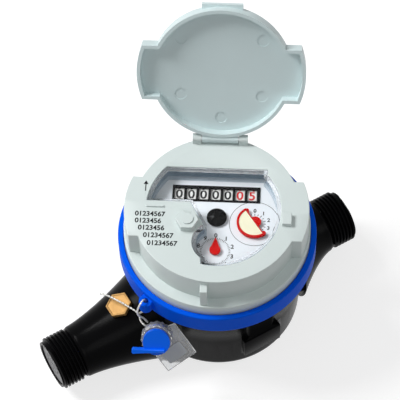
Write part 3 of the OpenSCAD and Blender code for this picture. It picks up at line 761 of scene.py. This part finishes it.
@dataclass(frozen=True)
class Lamp:
    """A soft studio lamp, turned to the meter."""

    name: str
    at: Point
    size: float
    watts: float
    aim: Point = (0.0, 0.0, 0.06)

    def build(self) -> None:
        """Hang the lamp."""
        data = bpy.data.lights.new(self.name, "AREA")
        data.shape = "DISK"
        data.size = self.size
        data.energy = self.watts
        obj = put(self.name, data)
        obj.location = self.at
        ray = Vector(self.aim) - Vector(self.at)
        obj.rotation_euler = ray.to_track_quat("-Z", "Y").to_euler()


@dataclass(frozen=True)
class Studio:
    """Pale floor, soft lamps and a white surround."""

    floor_size: float = 4.0
    floor_drop: float = 0.0002
    floor_colour: Colour = (0.44, 0.44, 0.44)
    floor_roughness: float = 0.9
    floor_mottle: float = 0.02
    floor_grain: float = 300.0
    floor_lift: float = 0.7
    fill: float = 0.2
    lamps: tuple[Lamp, ...] = (
        Lamp("key_lamp", (-0.6, 0.6, 1.05), 0.5, 13.6),
        Lamp("back_lamp", (-0.29, 0.75, 1.1), 0.12, 2.2),
        Lamp("front_lamp", (-0.35, -0.75, 1.0), 0.6, 2.2),
        Lamp("side_lamp", (0.9, -0.45, 0.55), 0.5, 1.5),
    )

    def seen(self, bench: NodeBench) -> Socket:
        """Return 1 for rays that see the surround: from camera, mirror or glass."""
        path = bench.node("ShaderNodeLightPath").outputs
        seen = bench.maths("MAXIMUM", path["Is Camera Ray"], path["Is Glossy Ray"])
        return bench.maths("MAXIMUM", seen, path["Is Transmission Ray"])

    def floor(self) -> None:
        """Lay the floor, which looks pale and keeps the shadow."""
        bm = bmesh.new()
        bmesh.ops.create_grid(bm, x_segments=8, y_segments=8, size=self.floor_size / 2)
        mesh = bpy.data.meshes.new("floor")
        bm.to_mesh(mesh)
        bm.free()
        obj = put("floor", mesh)
        obj.location.z = -self.floor_drop
        material, bench, shader, coords = surface_bench("floor_paper")
        values = {
            "Colour": opaque(self.floor_colour), "Grain scale": self.floor_grain,
            "Mottle": self.floor_mottle,
        }
        grain = bench.group(moulded_grain(), coords.outputs["Object"], values)
        bench.join(grain.outputs["Colour"], shader.inputs["Base Color"])
        shader.inputs["Roughness"].default_value = self.floor_roughness
        shader.inputs["Specular IOR Level"].default_value = 0.0
        shader.inputs["Emission Color"].default_value = WHITE
        lift = bench.maths("MULTIPLY", self.seen(bench), self.floor_lift)
        bench.join(lift, shader.inputs["Emission Strength"])
        mesh.materials.append(material)

    def surround(self) -> None:
        """Make the world white to all that sees it, and a soft fill to the rest."""
        world = bpy.data.worlds.new("studio")
        bpy.context.scene.world = world
        world.use_nodes = True
        bench = NodeBench(world.node_tree)
        backdrop = next(n for n in world.node_tree.nodes if n.type == "BACKGROUND")
        backdrop.inputs["Color"].default_value = WHITE
        lift = bench.maths("MULTIPLY", self.seen(bench), 1.0 - self.fill)
        bench.join(bench.maths("ADD", lift, self.fill), backdrop.inputs["Strength"])

    def build(self) -> None:
        """Set up the floor, the lamps and the surround."""
        self.floor()
        self.surround()
        for lamp in self.lamps:
            lamp.build()
        bpy.context.scene.view_settings.view_transform = "Standard"


@dataclass(frozen=True)
class WireRoute:
    """One end of the twisted seal wire, along its route in millimetres."""

    name: str
    node: str
    points: tuple[Point, ...]
    far_end: str
    lay: str
    diameter: float = 1.0
    twist_mm: float = 3.2
    count: int = 36
    span_steps: int = 24
    section_steps: int = 20
    waist: float = 0.62
    pinch: float = 1.4

    def dense(self) -> list[Vector]:
        """Return close points on a smooth curve through the route."""
        pts = [Vector(p) for p in self.points]
        made: list[Vector] = []
        for i in range(len(pts) - 1):
            before, start = pts[max(i - 1, 0)], pts[i]
            end, after = pts[i + 1], pts[min(i + 2, len(pts) - 1)]
            bend = 2 * before - 5 * start + 4 * end - after
            twist = 3 * start - before - 3 * end + after
            for k in range(self.span_steps):
                t = k / self.span_steps
                made.append(0.5 * (2 * start + (end - before) * t + bend * t * t + twist * t ** 3))
        made.append(pts[-1])
        return made

    def even(self) -> list[Vector]:
        """Return evenly spaced points of the curve, in metres."""
        dense = self.dense()
        reach = [0.0]
        for a, b in zip(dense, dense[1:]):
            reach.append(reach[-1] + (b - a).length)
        made: list[Vector] = []
        j = 0
        for i in range(self.count):
            want = reach[-1] * i / (self.count - 1)
            while j < len(reach) - 2 and reach[j + 1] < want:
                j += 1
            span = max(reach[j + 1] - reach[j], 1e-9)
            made.append(dense[j].lerp(dense[j + 1], (want - reach[j]) / span) * MM)
        return made

    def section(self) -> Object:
        """Return the two-strand section that the wire is swept with."""
        data = bpy.data.curves.new(f"{self.name}_section", "CURVE")
        data.dimensions = "2D"
        spline = data.splines.new("POLY")
        spline.use_cyclic_u = True
        spline.points.add(self.section_steps - 1)
        for i, point in enumerate(spline.points):
            a = math.tau * i / self.section_steps
            bulge = (1.0 - self.waist) * abs(math.cos(a)) ** self.pinch
            r = self.diameter / 2 * (self.waist + bulge) * MM
            point.co = (r * math.cos(a), r * math.sin(a), 0.0, 1.0)
        return bpy.data.objects.new(f"{self.name}_section", data)

    def build(self) -> None:
        """Lay the wire as a cord in place of its solid."""
        pts = self.even()
        length = sum((b - a).length for a, b in zip(pts, pts[1:]))
        data = bpy.data.curves.new(self.name, "CURVE")
        data.dimensions = "3D"
        data.twist_mode = "MINIMUM"
        data.resolution_u = 8
        data.use_fill_caps = True
        data.bevel_mode = "OBJECT"
        data.bevel_object = self.section()
        spline = data.splines.new("NURBS")
        spline.points.add(len(pts) - 1)
        spline.order_u = 4
        spline.use_endpoint_u = True
        turns = length / MM / self.twist_mm
        for i, p in enumerate(pts):
            spline.points[i].co = (*p, 1.0)
            spline.points[i].tilt = math.tau * turns * i / (len(pts) - 1)
        obj = put(self.name, data)
        SHELF.dress(obj, Slot.WIRE)
        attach(obj, Rider.METER.value)
        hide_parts(self.node)


LOOP_WIRE = WireRoute(
    "seal_wire_loop_twisted", "seal_wire_loop",
    ((-48, -16.9, 47.6), (-49.6, -16.1, 52), (-52, -16.3, 57), (-52.4, -16, 61.5),
     (-50, -15.1, 65.2), (-47.6, -14.2, 65.4), (-46.6, -13.8, 63), (-46.6, -13.8, 56),
     (-47.2, -12.8, 52), (-48.2, -10.3, 46.5), (-48.4, -9.1, 44)),
    "object", "taut",
)
TAIL_WIRE = WireRoute(
    "seal_wire_tail_twisted", "seal_wire_tail",
    ((-49.6, -17.1, 46), (-49.8, -13.3, 44.5), (-48.6, -8.3, 42.7), (-50.5, -3.3, 42.6),
     (-54, 3.7, 42.2), (-56.5, 8.2, 41.6), (-58.5, 11.2, 40.6)),
    "bare", "loose",
)


@dataclass(frozen=True)
class PipeThread:
    """External pipe thread on one tail of the body, in millimetres.

    The half widths of a tooth and its start from the tail's end are in pitches.
    """

    name: str
    end_x: float
    inward: float
    length: float = 13.0
    crest_r: float = 13.22
    depth: float = 1.16
    pitch: float = 1.814
    axis_z: float = 18.5
    steps: int = 48
    root_overlap: float = 0.1
    root_half: float = 0.47
    crest_half: float = 0.17
    start: float = 0.55
    runout: float = 0.2
    spared_turns: float = 1.02

    def sink(self, bm: BMesh) -> None:
        """Bring the plain cylinder under the thread down to the root.

        Args:
            bm: The body's solid.
        """
        outside, slack = 1.0, 0.01
        reach = self.length + slack
        ends = (self.end_x - self.inward * outside, self.end_x + self.inward * reach)
        root = self.crest_r - self.depth
        for v in bm.verts:
            y, z = v.co.y / MM, v.co.z / MM - self.axis_z
            r = math.hypot(y, z)
            if min(ends) <= v.co.x / MM <= max(ends) and r > root:
                v.co.y = y * root / r * MM
                v.co.z = (self.axis_z + z * root / r) * MM

    def ridge(self) -> BMesh:
        """Return the helical ridge, swept from one tooth of the thread."""
        bm = bmesh.new()
        root = self.crest_r - self.depth - self.root_overlap
        first = self.end_x + self.inward * self.start * self.pitch
        profile = (
            (-self.root_half, root), (-self.crest_half, self.crest_r),
            (self.crest_half, self.crest_r), (self.root_half, root),
        )
        verts = [
            bm.verts.new(((first + u * self.pitch) * MM, 0.0, (self.axis_z + r) * MM))
            for u, r in profile
        ]
        face = bm.faces.new(verts)
        turns = (self.length + self.runout) / self.pitch - self.spared_turns
        count = int(turns * self.steps)
        bmesh.ops.spin(
            bm, geom=[face, *face.edges, *verts], cent=(0.0, 0.0, self.axis_z * MM), axis=(1, 0, 0),
            dvec=(self.inward * self.pitch / self.steps * MM, 0.0, 0.0),
            angle=math.tau * count / self.steps, steps=count, use_merge=False,
        )
        bmesh.ops.recalc_face_normals(bm, faces=bm.faces)
        return bm


@dataclass(frozen=True)
class MeterBody:
    """Black composite body with its pipe threads and the strainer in its inlet."""

    rounding: float = 0.5
    round_deg: float = 45.0
    sharp_deg: float = 28.0
    thread_sharp_deg: float = 40.0
    threads: tuple[PipeThread, ...] = (
        PipeThread("inlet_thread_ridge", -93.0, 1.0),
        PipeThread("outlet_thread_ridge", 72.0, -1.0),
    )

    def build(self) -> None:
        """Make the body with threads and dress its strainer."""
        bm = merged_copy("body")
        for thread in self.threads:
            thread.sink(bm)
        round_edges(bm, self.rounding, self.round_deg)
        body = new_piece("body_threaded", bm, Slot.BODY, sharp_deg=self.sharp_deg)
        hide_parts("body")
        for thread in self.threads:
            new_piece(thread.name, thread.ridge(), Slot.BODY, sharp_deg=self.thread_sharp_deg)
        SHELF.dress_nodes(Slot.STRAINER, "inlet_strainer")


@dataclass(frozen=True)
class LockRing:
    """Blue ring that holds the register head on the body."""

    rounding: float = 0.7

    def build(self) -> None:
        """Round and dress the ring."""
        rounded_node("lock_ring", Slot.RING, self.rounding)


@dataclass(frozen=True)
class Cover:
    """Grey cover of the register with its generic print."""

    rounding: float = 0.3
    print_lift: float = 0.02
    type_size: float = 3.5
    arrow_at: Spot = (-33.6, 11.0)
    arrow_length: float = 5.6
    rows: tuple[tuple[str, Spot], ...] = (
        ("01234567", (-30.7, -4.1)), ("0123456", (-31.4, -7.8)), ("0123456", (-29.7, -11.5)),
        ("01234567", (-26.2, -15.4)), ("01234567", (-24.2, -19.5)),
    )

    def build(self) -> None:
        """Round and dress the cover, then print on its top face."""
        rounded_node("shroud", Slot.COVER, self.rounding)
        SHELF.dress_nodes(Slot.STEEL, "hinge_pin")
        sheet = PrintSheet("cover_print")
        sheet.arrow(self.arrow_at, self.arrow_length)
        for words, at in self.rows:
            sheet.words(words, at, self.type_size)
        place = HEAD.matrix() @ shift(0.0, 0.0, HEAD.top_z + self.print_lift)
        sheet.piece(place, Ink.BLACK, Slot.COVER)


@dataclass(frozen=True)
class Lid:
    """Hinged lid of the register, dressed as it is cut: a rounded copy shows a crease."""

    barrel_r: float = 2.0
    barrel_bore_r: float = 1.2
    barrel_half: float = 5.8
    barrel_steps: int = 48

    def barrel(self) -> None:
        """Add the sleeve that joins the lid's arms round the hinge pin."""
        bm = bmesh.new()
        bore, outside = self.barrel_bore_r, self.barrel_r
        outline = [
            bm.verts.new((side * self.barrel_half * MM, 0.0, radius * MM))
            for side, radius in ((-1, bore), (1, bore), (1, outside), (-1, outside))
        ]
        edges = [bm.edges.new((outline[i - 1], outline[i])) for i in range(len(outline))]
        bmesh.ops.spin(
            bm, geom=[*outline, *edges], cent=(0, 0, 0), axis=(1, 0, 0), angle=math.tau,
            steps=self.barrel_steps, use_merge=True,
        )
        bmesh.ops.remove_doubles(bm, verts=bm.verts, dist=MERGE_M)
        bmesh.ops.recalc_face_normals(bm, faces=bm.faces)
        new_piece("lid_barrel", bm, Slot.LID, Rider.LID.value, place=HEAD.hinge_matrix())

    def build(self) -> None:
        """Dress the lid and add its barrel."""
        SHELF.dress_nodes(Slot.LID, "lid")
        self.barrel()


@dataclass(frozen=True)
class Window:
    """Clear cap over the dial."""

    def build(self) -> None:
        """Dress the cap as it is cut: a rounded copy shows a stronger line along its edge."""
        SHELF.dress_nodes(Slot.WINDOW, "window")


@dataclass(frozen=True)
class DialScale:
    """Ticks and digits round one pointer, in millimetres."""

    centre: Spot
    ticks: int
    long_every: int
    tick_r: float
    long_tick: float
    tick_w: float
    digit_r: float
    type_size: float
    short_tick: float = 0.8
    digits: int = 10

    def spot(self, radius: float, bearing_deg: float) -> Spot:
        """Return the spot at a radius and a bearing from the scale's centre."""
        a = math.radians(bearing_deg)
        return self.centre[0] + radius * math.cos(a), self.centre[1] + radius * math.sin(a)

    def mark(self, sheet: PrintSheet) -> None:
        """Print the ticks and the digits, clockwise from the top.

        Args:
            sheet: The sheet that they go on.
        """
        for i in range(self.ticks):
            bearing = 90 - 360 / self.ticks * i
            length = self.short_tick if i % self.long_every else self.long_tick
            sheet.bar(self.spot(self.tick_r, bearing), length, self.tick_w, bearing)
        for i in range(self.digits):
            at = self.spot(self.digit_r, 90 - 360 / self.digits * i)
            sheet.words(str(i), at, self.type_size)


@dataclass(frozen=True)
class Dial:
    """White dial with its scales, and the black counter mask: its frame is the counter's own, its
    bars between the drums are painted shade.
    """

    lift: float = 0.03
    ring_r: float = 11.7
    ring_w: float = 0.22
    small: DialScale = DialScale(HEAD.small_at, 50, 5, 6.7, 1.3, 0.26, 8.3, 3.0)
    large: DialScale = DialScale(HEAD.large_at, 20, 2, 4.9, 1.2, 0.3, 6.9, 2.7)

    def build(self) -> None:
        """Dress the dial and print its scales."""
        SHELF.dress_nodes(Slot.DIAL, "dial_plate")
        # The mask's black bars between the drum windows stand in for the shaded gaps between the
        # drums: painted shade.
        SHELF.dress_nodes(Slot.MASK, "counter_mask")
        sheet = PrintSheet("dial_print")
        self.small.mark(sheet)
        sheet.ring(HEAD.large_at, self.ring_r, self.ring_w)
        self.large.mark(sheet)
        place = HEAD.matrix() @ shift(0.0, 0.0, HEAD.dial_top + self.lift)
        sheet.piece(place, Ink.BLACK, Slot.DIAL)


@dataclass(frozen=True)
class Counter:
    """Seven number drums with their numerals."""

    shown: tuple[int, ...] = (0, 0, 0, 0, 0, 0, 5)
    red_from: int = 6
    drum_r: float = 7.9
    pitch: float = 5.72
    first_x: float = -17.8464
    drum_w: float = 5.38
    face_w: float = 4.38
    axis_y: float = 13.0
    axis_z: float = 68.8
    size: float = 6.5
    weight: float = 0.018
    widen: float = 1.04
    lift: float = 0.03
    cut_mm: float = 0.4
    cuts_each_way: int = 6

    def numeral(self, digit: int, turn_deg: float) -> BMesh:
        """Return one numeral laid round the drum.

        Args:
            digit: The numeral.
            turn_deg: Its place round the drum from the top.

        Returns:
            A bmesh about the drum's axis, in metres.
        """
        bm = text_bmesh(str(digit), self.size, self.weight)
        bmesh.ops.scale(bm, vec=(self.widen, 1.0, 1.0), verts=bm.verts)
        for i in range(-self.cuts_each_way, self.cuts_each_way + 1):
            geom = [*bm.verts, *bm.edges, *bm.faces]
            bmesh.ops.bisect_plane(
                bm, geom=geom, plane_co=(0.0, i * self.cut_mm * MM, 0.0), plane_no=(0, 1, 0),
            )
        radius = (self.drum_r + self.lift) * MM
        for v in bm.verts:
            angle = v.co.y / radius
            v.co = Vector((v.co.x, radius * math.sin(angle), radius * math.cos(angle)))
        bmesh.ops.transform(bm, matrix=turn(turn_deg, "X"), verts=bm.verts)
        return bm

    def drum(self, k: int) -> None:
        """Dress a number drum and lay its ten numerals.

        Args:
            k: The drum's number, from 1.
        """
        node = f"number_drum_{k}"
        SHELF.dress_nodes(Slot.DRUM, node)
        sheet = PrintSheet(f"numerals_{k}")
        face_x = self.first_x + (k - 1) * self.pitch - self.drum_w / 2 + self.face_w / 2
        place = shift(face_x, self.axis_y, self.axis_z)
        for digit in range(10):
            sheet.add(self.numeral(digit, 36.0 * (digit - self.shown[k - 1])), place)
        ink = Ink.RED if k >= self.red_from else Ink.BLACK
        sheet.piece(HEAD.matrix(), ink, Slot.DRUM, node)

    def build(self) -> None:
        """Dress all the drums and what carries them."""
        for k in range(1, len(self.shown) + 1):
            self.drum(k)
        for k in range(1, len(self.shown)):
            SHELF.dress_nodes(Slot.INNER, f"carry_pinion_{k}")
        SHELF.dress_nodes(Slot.STEEL, "drum_shaft", "pinion_shaft")


@dataclass(frozen=True)
class Pointers:
    """Flow star and both pointers, with the large pointer's pale field.

    The pointers are dressed as they are cut: rounded copies show dark patches.
    """

    turn_deg: float = -55.0
    field_r: float = 7.2
    field_z: float = 78.9
    field_t: float = 0.25
    field_edge_y: float = -0.2
    field_steps: int = 96
    star_rounding: float = 0.1
    star_round_deg: float = 60.0
    star_sharp_deg: float = 8.0

    def field(self) -> None:
        """Add the pale half disc on the large pointer."""
        bm = bmesh.new()
        bmesh.ops.create_circle(
            bm, cap_ends=True, segments=self.field_steps, radius=self.field_r * MM,
        )
        bmesh.ops.bisect_plane(
            bm, geom=[*bm.verts, *bm.edges, *bm.faces], plane_co=(0.0, self.field_edge_y * MM, 0.0),
            plane_no=(0, 1, 0), clear_outer=True,
        )
        bmesh.ops.solidify(bm, geom=list(bm.faces), thickness=-self.field_t * MM)
        bmesh.ops.recalc_face_normals(bm, faces=bm.faces)
        place = HEAD.matrix() @ shift(*HEAD.large_at, self.field_z) @ turn(self.turn_deg)
        rider = Rider.LARGE_POINTER.value
        new_piece("large_pointer_field", bm, Slot.POINTER, rider, Ink.CREAM, place)

    def build(self) -> None:
        """Dress the pointers and their arbors, round the star and add the field."""
        SHELF.dress_nodes(Slot.POINTER, "large_pointer", "small_pointer")
        rounded_node(
            "star_indicator", Slot.STAR, self.star_rounding, Rider.STAR,
            self.star_round_deg, self.star_sharp_deg,
        )
        self.field()
        SHELF.dress_nodes(
            Slot.INNER, "star_arbor", "small_pointer_arbor", "large_pointer_arbor", "idler_gear",
        )


@dataclass(frozen=True)
class TwistSeal:
    """Clear twist seal with its blue rotor, its flag's bare field and the brass token."""

    at: Point = (-46.4, -22.8, 42.5)
    tilt_x_deg: float = 51.7
    tilt_z_deg: float = -30.5
    housing_rounding: float = 0.2
    rotor_rounding: float = 0.5
    flag_t: float = 1.2
    field_middle: Spot = (8.2, -8.6)
    field_size: Spot = (10.5, 7.0)
    field_turn_deg: float = 37.0
    field_corner: float = 0.8
    field_lift: float = 0.03
    token_corners: int = 6
    token_rim: float = 0.9
    token_slope: float = 0.2
    token_sunk: float = 0.3
    token_rounding: float = 0.2
    token_round_deg: float = 25.0

    def flag_field(self) -> None:
        """Lay the bare silver field on the flag."""
        bm = oblong(*self.field_size)
        bmesh.ops.bevel(
            bm, geom=list(bm.verts), offset=self.field_corner * MM, offset_type="OFFSET",
            segments=4, profile=0.5, affect="VERTICES", material=-1,
        )
        seal = shift(*self.at) @ turn(self.tilt_z_deg) @ turn(self.tilt_x_deg, "X")
        on_flag = shift(*self.field_middle, self.flag_t + self.field_lift)
        place = seal @ on_flag @ turn(self.field_turn_deg)
        new_piece("seal_flag_field", bm, Slot.SEAL_CLEAR, ink=Ink.SILVER, place=place)

    def token(self) -> None:
        """Give the token a raised rim round a sunk face, and round its edges."""
        bm = merged_copy("seal_token")
        ends = [f for f in bm.faces if len(f.verts) == self.token_corners]
        top = max(ends, key=lambda f: f.calc_center_median().z)
        for width, depth in ((self.token_rim, 0.0), (self.token_slope, -self.token_sunk)):
            bmesh.ops.inset_individual(bm, faces=[top], thickness=width * MM, depth=depth * MM)
        round_edges(bm, self.token_rounding, self.token_round_deg)
        piece = new_piece("seal_token_struck", bm, Slot.TOKEN)
        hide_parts("seal_token")

    def build(self) -> None:
        """Dress the seal, its flag and the token."""
        rounded_node("seal_housing", Slot.SEAL_CLEAR, self.housing_rounding)
        rounded_node("seal_rotor", Slot.SEAL_BLUE, self.rotor_rounding)
        self.flag_field()
        self.token()


@dataclass(frozen=True)
class InnerWorks:
    """Pieces that the body and the cover hide."""

    finishes: tuple[tuple[Slot, tuple[str, ...]], ...] = (
        (Slot.INNER, ("chamber_housing", "chamber_cover", "impeller")),
        (Slot.INNER, ("register_can", "register_frame")),
        (Slot.STEEL, ("impeller_pin", "magnet_shield_ring")),
        (Slot.MAGNET, ("drive_magnet", "follower_magnet")),
        (Slot.RUBBER, ("pressure_plate_seal",)),
        (Slot.PLATE, ("pressure_plate",)),
    )

    def build(self) -> None:
        """Dress the hidden pieces."""
        for slot, nodes in self.finishes:
            SHELF.dress_nodes(slot, *nodes)


def clear_start() -> None:
    """Remove what Blender's start file holds."""
    for obj in list(bpy.data.objects):
        bpy.data.objects.remove(obj)


def main() -> None:
    """Load the frame, then build and log each sub-assembly in order."""
    logging.basicConfig(level=logging.INFO, format="%(message)s")
    clear_start()
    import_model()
    PhotoCamera().build()
    log.info("camera set")
    for wire in (LOOP_WIRE, TAIL_WIRE):
        wire.build()
        log.info("wire laid: %s", wire.name)
    assemblies = (
        MeterBody(), LockRing(), Cover(), Lid(), Window(), Dial(), Counter(), Pointers(),
        TwistSeal(), InnerWorks(),
    )
    for assembly in assemblies:
        assembly.build()
        log.info("built: %s", type(assembly).__name__)
    Studio().build()
    bpy.context.view_layer.update()
    log.info("boxes written")


if __name__ == "__main__":
    main()
